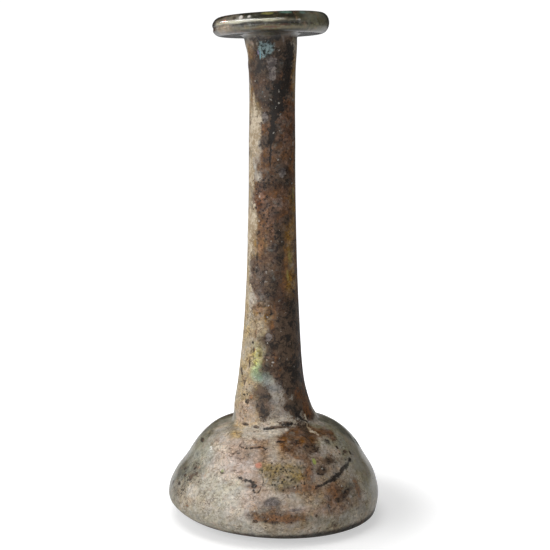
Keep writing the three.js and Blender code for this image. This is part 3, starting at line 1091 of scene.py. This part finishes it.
class Sheet(Tree):
    """Short ways to lay out a material's nodes."""

    ragged_scale = 0.9
    ragged_pull = 3.0

    def __init__(self, name: str) -> None:
        """Starts an empty material, with the place of each point in millimetres."""
        self.material = bpy.data.materials.new(name)
        self.material.use_nodes = True
        self.material.node_tree.nodes.clear()
        super().__init__(self.material.node_tree)
        place = self.work("ShaderNodeTexCoord", {}, "Object")
        self.place = self.work("ShaderNodeVectorMath", {0: place, "Scale": 1 / MM}, operation="SCALE")

    def vector(self, operation: str, *values: object, output: str = "Vector") -> Value:
        """One operation on vectors."""
        return self.work("ShaderNodeVectorMath", dict(enumerate(values)), output, operation=operation)

    def attribute(self, name: str, output: str = "Fac") -> Value:
        """Reads what the painter wrote."""
        return self.work("ShaderNodeAttribute", {}, output, attribute_name=name)

    def noise(self, cloud: Cloud) -> Value:
        """Cloudy noise about 0."""
        shift = (cloud.shift, -cloud.shift, 2 * cloud.shift)
        place = self.vector("MULTIPLY_ADD", self.place, cloud.stretch, shift)
        inputs = {"Vector": place, "Scale": 1 / cloud.size}
        inputs |= {"Detail": cloud.detail, "Roughness": cloud.roughness}
        return self.work("ShaderNodeTexNoise", inputs) - 0.5

    def scales(self, cells: Cells) -> tuple[Value, Value, Value]:
        """Three random numbers about 0 for each of many ragged scales."""
        place = self.vector("ADD", self.place, (cells.shift,) * 3)
        inputs = {"Vector": place, "Scale": self.ragged_scale / cells.size, "Detail": 5, "Roughness": 0.68}
        pull = self.work("ShaderNodeTexNoise", inputs, "Color")
        place = self.vector("MULTIPLY_ADD", pull, (self.ragged_pull * cells.size,) * 3, self.place)
        colour = self.work("ShaderNodeTexVoronoi", {"Vector": place, "Scale": 1 / cells.size}, "Color")
        return tuple(channel - 0.5 for channel in self.outputs("ShaderNodeSeparateColor", {0: colour}))

    def cells(self, cells: Cells) -> Value:
        """Distance from the middle of the nearest cell, as a share of the cells' size."""
        place = self.vector("ADD", self.place, (cells.shift,) * 3)
        return self.work("ShaderNodeTexVoronoi", {"Vector": place, "Scale": 1 / cells.size}, "Distance")

    def ramp(self, value: object, ramp: Ramp) -> Value:
        """A value, led up a smooth rise."""
        given = (value, ramp.low, ramp.high, ramp.start, ramp.end)
        return self.work("ShaderNodeMapRange", dict(enumerate(given)), interpolation_type="SMOOTHSTEP")

    def mix(self, share: object, below: object, above: object) -> Value:
        """One colour laid over another."""
        return self.work("ShaderNodeMix", {0: share, 6: below, 7: above}, 2, data_type="RGBA")

    def lerp(self, share: object, below: object, above: object) -> Value:
        """One number gone over to another."""
        return self.work("ShaderNodeMix", {0: share, 2: below, 3: above}, data_type="FLOAT")

    def surface(self, inputs: dict) -> bpy.types.Material:
        """Gives the material its surface, with a shader's inputs by name."""
        shader = self.work("ShaderNodeBsdfPrincipled", inputs)
        self.node("ShaderNodeOutputMaterial", {"Surface": shader})
        return self.material


@dataclass(frozen=True)
class Grounds:
    """The noises that the whole finish shares, and where the glass is bare or rough."""

    edge: Value
    cloud: Value
    grain: Value
    scales: tuple[Value, Value, Value]
    bare: Value
    rough: Value


@dataclass(frozen=True)
class Vein:
    """Thin winding lines: the noise they follow, their width and strength, and the ramp of where they run."""

    noise: Cloud
    width: float
    strength: float
    where: Ramp


@dataclass(frozen=True)
class WeatheredGlass:
    """The bottle's finish: old glass under enamel-like weathering, crusts, stains and films."""

    pinkish: Colour = srgb(196, 152, 124)
    bluish: Colour = srgb(150, 152, 142)
    vein: Colour = srgb(74, 52, 38)
    grime: Colour = srgb(30, 25, 21)
    chalk: Colour = srgb(218, 210, 198)
    dust: Colour = srgb(156, 142, 122)
    enamel_roughness: float = 0.52
    bare_roughness: float = 0.3
    least_roughness: float = 0.1
    glass_roughness: float = 0.09
    glass_ior: float = 1.5
    crust_shine: float = 0.22
    bump_depth: float = 1.0
    edge_noise: Cloud = Cloud(2.4, 9, 0.68)
    cloud_noise: Cloud = Cloud(4.5, 8, 0.66, 31)
    grain_noise: Cloud = Cloud(0.8, 5, 0.7, 57)
    warmth_noise: Cloud = Cloud(3.4, 7, 0.68, 83)
    fleck_noise: Cloud = Cloud(0.7, 3, 0.7, 101)
    flakes: Cells = Cells(1.5, 12)
    pits: Cells = Cells(1.2)
    fine_pits: Cells = Cells(0.65, 9)
    crumbs: Cells = Cells(2.9, 17)
    large_veins: Vein = Vein(Cloud(5.0, 7, 0.64, 76, (1, 1, 1.7)), 0.03, 0.75, Ramp(-0.06, 0.1))
    small_veins: Vein = Vein(Cloud(2.6, 7, 0.64, 73.6, (1, 1, 1.8)), 0.05, 0.6, Ramp(-0.05, 0.1))
    contrast: Ramp = Ramp(0.04, 0.4, 4.2, 1.7)
    warm: Ramp = Ramp(0.05, 0.3, 0, 0.45)
    cool: Ramp = Ramp(-0.05, -0.3, 0, 0.45)
    layer_tone: Ramp = Ramp(-0.16, 0.2)
    spot_cover: Ramp = Ramp(-0.1, 0.5, 0, 0.8)
    pit_cover: Ramp = Ramp(0.0, 0.14, 0, 0.85)
    fine_pit_cover: Ramp = Ramp(0.0, 0.14, 0, 0.7)
    crack_cover: Ramp = Ramp(1.05, 0.45, 0, 0.92)
    dust_cover: Ramp = Ramp(0.12, 0.26, 0, 0.6)
    dirt_cover: Ramp = Ramp(-0.14, -0.3, 0, 0.45)
    chalk_cover: Ramp = Ramp(0.06, 0.0, 0, 0.6)
    cloud_relief: float = 0.14
    grain_relief: float = 0.14
    mark_depth: float = 0.15

    def make(self) -> bpy.types.Material:
        """Builds the material."""
        sheet = Sheet("weathered glass")
        noises = [sheet.noise(cloud) for cloud in (self.edge_noise, self.cloud_noise, self.grain_noise)]
        bare = sheet.attribute("bare")
        on = Grounds(*noises, sheet.scales(self.flakes), bare, 1 - bare * 0.7)
        colour = self.vein_over(sheet, on, self.mottle(sheet, on))
        roughness = sheet.lerp(bare, self.enamel_roughness, self.bare_roughness)
        colour, roughness, height = self.lay_crusts(sheet, on, colour, roughness)
        spot = sheet.attribute("spot") + on.edge * 1.4
        colour = sheet.mix(sheet.ramp(spot, self.spot_cover), colour, sheet.attribute("spot_colour", "Color"))
        marks, colour = self.mark(sheet, on, colour)
        height = height - marks * self.mark_depth + on.grain * (on.rough * self.grain_relief)
        gloss = (on.grain + on.edge) * 0.4 * on.rough
        roughness = sheet.sum("MAXIMUM", sheet.sum("ADD", roughness, gloss, clamp=True), self.least_roughness)
        bump = {"Distance": self.bump_depth * MM, "Strength": 1.0, "Height": height}
        return sheet.surface({
            "Base Color": colour,
            "Roughness": roughness,
            "Normal": sheet.work("ShaderNodeBump", bump),
            "IOR": self.glass_ior,
            "Specular IOR Level": self.crust_shine,
            "Coat Weight": bare,
            "Coat Roughness": self.glass_roughness,
        })

    def mottle(self, sheet: Sheet, on: Grounds) -> Value:
        """The broad tint, mottled in lightness, warmth and strength of colour.

        Args:
            sheet: The material's nodes.
            on: The shared noises.

        Returns:
            The mottled colour.
        """
        tone = on.edge + on.grain * 1.1 + on.scales[0] * 0.16
        wash = sheet.attribute("wash", "Color")
        shade = sheet.work("ShaderNodeRGBToBW", {0: wash})
        strength = on.cloud + on.scales[2] * 0.25
        change = {
            "Color": wash,
            "Saturation": 1.0 + strength * 1.7,
            "Value": 1.0 + tone * sheet.ramp(shade, self.contrast) * on.rough,
        }
        warmth = sheet.noise(self.warmth_noise) + on.scales[1] * 0.22
        colour = sheet.work("ShaderNodeHueSaturation", change)
        colour = sheet.mix(sheet.ramp(warmth, self.warm), colour, self.pinkish)
        return sheet.mix(sheet.ramp(warmth, self.cool), colour, self.bluish)

    def vein_over(self, sheet: Sheet, on: Grounds, colour: Value) -> Value:
        """Adds thin brown lines, like the edges of flaked enamel, and finer ones between them."""
        for vein, ground in ((self.large_veins, on.cloud), (self.small_veins, on.edge)):
            winding = sheet.sum("ABSOLUTE", sheet.noise(vein.noise))
            line = sheet.ramp(winding, Ramp(vein.width, 0.15 * vein.width, 0, vein.strength))
            colour = sheet.mix(line * sheet.ramp(ground, vein.where) * on.rough, colour, self.vein)
        return colour

    def lay_crusts(
        self, sheet: Sheet, on: Grounds, colour: Value, roughness: Value
    ) -> tuple[Value, Value, Value]:
        """Lays each painted layer over the ones below it, with a dark line of shade at its edge.

        Args:
            sheet: The material's nodes.
            on: The shared noises.
            colour: The colour below.
            roughness: The roughness below.

        Returns:
            The colour, the roughness and the height in millimetres, with all the layers.
        """
        height = on.cloud * self.cloud_relief * on.rough
        jagged = on.grain * 1.5 + on.scales[0] * 0.5
        for step, (layer, substance) in enumerate(SUBSTANCES.items()):
            own, other = (on.edge, on.cloud) if step % 2 == 0 else (on.cloud, on.edge)
            soft = substance.soft
            depth = sheet.attribute(layer.name.lower()) + (own * 0.5 * substance.frayed + jagged)
            cover = sheet.ramp(depth, Ramp(-soft, soft, 0, substance.cover))
            shade = sheet.ramp(depth, Ramp(-3 * soft, 0, 0, 8 * substance.thickness))
            tone = other + on.grain * 1.1 + on.scales[1] * 0.3
            body = sheet.mix(sheet.ramp(tone, self.layer_tone), substance.dark, substance.light)
            colour = sheet.mix(cover, sheet.mix(shade, colour, self.vein), body)
            roughness = sheet.lerp(cover, roughness, substance.roughness)
            height = height + cover * substance.thickness
        return colour, roughness, height

    def mark(self, sheet: Sheet, on: Grounds, colour: Value) -> tuple[Value, Value]:
        """Adds pits, specks, cracks, dust, dirt and crumbs of chalk.

        Args:
            sheet: The material's nodes.
            on: The shared noises.
            colour: The colour below.

        Returns:
            How deep the dark marks are, from 0 to 1, and the colour with all of them.
        """
        many = sheet.attribute("pitting")
        pits = sheet.ramp(many * 0.34 - sheet.cells(self.pits) + on.edge * 0.9, self.pit_cover)
        fine = sheet.ramp(many * 0.3 - sheet.cells(self.fine_pits) + on.grain * 0.6, self.fine_pit_cover)
        crack = sheet.ramp(sheet.attribute("crack") + on.grain * 2.4 + on.edge * 1.6, self.crack_cover)
        marks = sheet.sum("MAXIMUM", pits, sheet.sum("MAXIMUM", fine, crack)) * on.rough
        flecks = sheet.noise(self.fleck_noise) + on.edge * 0.5
        chalk = sheet.ramp(sheet.cells(self.crumbs) + on.grain * 1.2, self.chalk_cover)
        for share, laid in (
            (marks, self.grime),
            (sheet.ramp(flecks, self.dust_cover) * on.rough, self.dust),
            (sheet.ramp(flecks, self.dirt_cover) * on.rough, self.vein),
            (chalk * on.rough, self.chalk),
        ):
            colour = sheet.mix(share, colour, laid)
        return marks, colour


@dataclass
class Bottle:
    """The blown bottle: its turned, hand-shaped and roughened mesh."""

    form: BottleForm = field(default_factory=BottleForm)
    sides: int = 288
    unevenness: float = 0.14
    unevenness_size: float = 14.0
    crust_height: float = 0.12
    even_foot: Pair = (0.5, 5)
    even_rim: Pair = (157, 159)
    chip: Patch = Patch(90, 24, 2.2, 1.7)
    chip_depth: float = 0.45
    seed: int = 5

    def build(self, finish: bpy.types.Material) -> bpy.types.Object:
        """Turns, paints, roughens and shapes the bottle, and sets it in the middle of its node's box.

        Args:
            finish: The material that it wears.

        Returns:
            The bottle.
        """
        outside, inside = self.form.outside(), self.form.inside()
        thing = Turner().turn("bottle", np.vstack([outside, inside]), self.sides, finish)
        mesh = thing.data
        points = np.zeros(len(mesh.vertices) * 3)
        mesh.vertices.foreach_get("co", points)
        points = points.reshape(-1, 3) / MM
        along = np.zeros(len(points))
        mesh.attributes["along"].data.foreach_get("value", along)
        outer = along < len(outside) - 0.5
        depths = Painter(self.form).paint(mesh, points, outer)
        shaped = self.form.shape_by_hand(points + self.relief(points, outer, depths))
        low, high = (np.array(corner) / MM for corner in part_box(NODE))
        true_form = self.form.shape_by_hand(points)
        own = (true_form.min(0) + true_form.max(0)) / 2
        shaped[:, :2] += ((low + high) / 2 - own)[:2]
        mesh.vertices.foreach_set("co", (shaped * MM).astype(np.float32).ravel())
        mesh.update()
        return thing

    def relief(self, points: np.ndarray, outer: np.ndarray, depths: dict[Layer, np.ndarray]) -> np.ndarray:
        """How far each point moves off the round form, never outwards past it.

        Args:
            points: The points on the true round form.
            outer: Which of them are on the outside.
            depths: The depth of each layer at each of them.

        Returns:
            The move of each point.
        """
        x, y, z = points.T
        radius = np.maximum(np.hypot(x, y), 1e-6)
        wave = SoftNoise(self.seed).at(points, self.unevenness_size, 4)
        crust = smoothstep(-0.4, 0.4, np.maximum(depths[Layer.UMBER], depths[Layer.CREAM]))
        move = -self.unevenness * (1 - wave) / 2 - self.crust_height * (1 - crust)
        move = move * smoothstep(*self.even_foot, z) * (1 - smoothstep(*self.even_rim, z))
        chip = self.chip.depth(np.degrees(np.arctan2(x, -y)), z, radius)
        move = (move - self.chip_depth * smoothstep(0, 0.5, chip)) * outer
        return np.stack([x / radius * move, y / radius * move, np.zeros_like(z)], axis=1)


@dataclass(frozen=True)
class Lamp:
    """An area lamp: its place and size, its power in watts, and what its light is for."""

    name: str
    place: Triple
    size: Pair
    power: float
    lights: bool = True
    mirrored: bool = True

    def hang(self, aim: Triple) -> None:
        """Hangs the lamp, turned to a point."""
        data = bpy.data.lights.new(self.name, "AREA")
        data.shape = "RECTANGLE"
        data.size, data.size_y = (side * MM for side in self.size)
        data.energy = self.power
        lamp = bpy.data.objects.new(self.name, data)
        lamp.location = Vector(self.place) * MM
        lamp.visible_diffuse, lamp.visible_glossy = self.lights, self.mirrored
        lamp.rotation_euler = (Vector(aim) * MM - lamp.location).to_track_quat("-Z", "Y").to_euler()
        bpy.context.scene.collection.objects.link(lamp)


@dataclass(frozen=True)
class Studio:
    """A pale floor under soft light, seen from where the photograph was taken. Lengths in millimetres."""

    eye: Triple = (0.5, -377.7, 135.1)
    tilt: float = 8.16
    focal: float = 1156.1
    frame_pixels: float = 550
    sensor: float = 36
    nearest: float = 10
    floor_size: float = 4000
    floor_paper: Colour = (0.6, 0.6, 0.6, 1)
    floor_roughness: float = 0.8
    backdrop: float = 1.05
    surround: float = 0.12
    mirrored_dimming: float = 0.8
    # the paper's glow: weaker near the bottle, round a middle a little to its right, as a painted shadow; a
    # share of it also shows in reflections, as painted light on the glass
    glow: Triple = (0.5, 0.79, 1.0)
    glow_reach: Triple = (34, 60, 120)
    painted_shadow_middle: Pair = (8, 0)
    mirrored_glow: float = 0.3
    aim: Triple = (0, 0, 70)
    strip_turns: Triple = (-98, -49, 0)
    strip_away: float = 760
    strip_height: float = 440
    strip_size: Pair = (690, 34)
    strip_power: float = 3.0
    lamps: tuple[Lamp, ...] = (
        Lamp("key", (-560, -400, 420), (560, 420), 3.3),
        Lamp("front", (-160, -760, 220), (560, 60), 0.5),
        Lamp("top", (-160, -60, 820), (500, 400), 3.0, mirrored=False),
        Lamp("right", (620, -420, 160), (60, 300), 0.25),
    )

    def build(self) -> None:
        """Sets up the camera, floor, lamps and surrounding light."""
        self.camera()
        self.floor()
        for lamp in (*self.strips(), *self.lamps):
            lamp.hang(self.aim)
        self.world()

    def camera(self) -> None:
        """Sets up the camera, level across and tilted a little down."""
        data = bpy.data.cameras.new("camera")
        data.sensor_width = self.sensor
        data.lens = self.focal / self.frame_pixels * self.sensor
        data.clip_start = self.nearest * MM
        camera = bpy.data.objects.new("camera", data)
        camera.location = Vector(self.eye) * MM
        camera.rotation_euler = (math.radians(90 - self.tilt), 0, 0)
        bpy.context.scene.collection.objects.link(camera)
        bpy.context.scene.camera = camera

    def floor(self) -> None:
        """Lays a plain near-white floor."""
        half = self.floor_size / 2 * MM
        mesh = bpy.data.meshes.new("floor")
        corners = [(-half, -half, 0), (half, -half, 0), (half, half, 0), (-half, half, 0)]
        mesh.from_pydata(corners, [], [(0, 1, 2, 3)])
        sheet = Sheet("floor paper")
        mesh.materials.append(sheet.surface({
            "Base Color": self.floor_paper,
            "Roughness": self.floor_roughness,
            "Emission Color": (1, 1, 1, 1),
            "Emission Strength": self.backdrop_glow(sheet),
        }))
        floor = bpy.data.objects.new("floor", mesh)
        bpy.context.scene.collection.objects.link(floor)

    def backdrop_glow(self, sheet: Sheet) -> Value:
        """How much the paper glows: fully for the lens, so that it runs out into pure white behind the
        bottle, and a share in reflections, as painted light on the glass. It glows less near the bottle,
        round a middle a little to its right, as a painted shadow.
        """
        offset = sheet.vector("ADD", sheet.place, (-self.painted_shadow_middle[0], -self.painted_shadow_middle[1], 0))
        away = sheet.vector("LENGTH", offset, output="Value")
        near, middle, far = self.glow_reach
        low, half, high = self.glow
        glow = sheet.ramp(away, Ramp(near, middle, low, half))
        glow = glow + sheet.ramp(away, Ramp(middle, far, 0, high - half))
        seen = sheet.work("ShaderNodeLightPath", {}, "Is Camera Ray")
        mirrored = sheet.work("ShaderNodeLightPath", {}, "Is Glossy Ray")
        return glow * (seen + mirrored * self.mirrored_glow)

    def strips(self) -> list[Lamp]:
        """Slim lamps on the left and in front that show only as reflections in the glass."""
        return [
            Lamp(
                "strip",
                (self.strip_away * math.sin(turn), -self.strip_away * math.cos(turn), self.strip_height),
                self.strip_size,
                self.strip_power,
                lights=False,
            )
            for turn in map(math.radians, self.strip_turns)
        ]

    def world(self) -> None:
        """Sets up white light from all round, dimmer in reflections and bright where the lens sees it."""
        world = bpy.data.worlds.new("surroundings")
        world.use_nodes = True
        tree = Tree(world.node_tree)
        seen = tree.work("ShaderNodeLightPath", {}, "Is Camera Ray")
        mirrored = tree.work("ShaderNodeLightPath", {}, "Is Glossy Ray")
        strength = {"Value": seen, "To Min": self.surround, "To Max": self.backdrop}
        strength = tree.work("ShaderNodeMapRange", strength)
        dimmed = tree.sum("MULTIPLY_ADD", mirrored, -self.mirrored_dimming, 1)
        back = world.node_tree.nodes["Background"]
        tree.put(back.inputs["Color"], (1, 1, 1, 1))
        tree.put(back.inputs["Strength"], strength * dimmed)
        bpy.context.scene.world = world
        bpy.context.scene.view_settings.view_transform = "Standard"


def main() -> None:
    """Builds the bottle and the studio in order."""
    logging.basicConfig(level=logging.INFO, format="%(message)s")
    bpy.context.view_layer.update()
    finish = WeatheredGlass().make()
    bottle = Bottle().build(finish)
    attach(bottle, "root")
    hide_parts(NODE)
    LOG.info("%s: %d points, %d faces", bottle.name, len(bottle.data.vertices), len(bottle.data.polygons))
    Studio().build()


if __name__ == "__main__":
    main()
